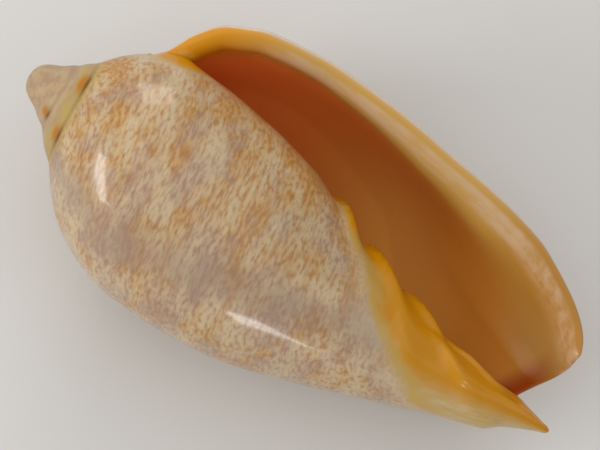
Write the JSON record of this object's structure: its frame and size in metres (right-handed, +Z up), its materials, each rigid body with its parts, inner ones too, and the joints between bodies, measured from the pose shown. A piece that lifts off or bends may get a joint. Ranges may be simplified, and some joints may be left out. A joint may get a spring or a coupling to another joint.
{
  "type": "volute shell",
  "caption": "Volute sea shell with a low spire, a swollen last whorl, a long open mouth, folds on the pillar and a short front beak; it lies on its back.",
  "frame": {"origin": "on the floor under the middle of the shell's length and width, at the level of the small flat spot it rests on", "axes": "+X toward the front beak along the coiling axis, +Y toward the outer lip, +Z up out of the mouth"},
  "size_m": [0.0952, 0.0476, 0.0396],
  "materials": {
    "shell": "glossy glazed shell, cream with fine brown flecks outside, orange at the mouth"
  },
  "bodies": {
    "root": {"shell": "shell"}
  },
  "joints": []
}
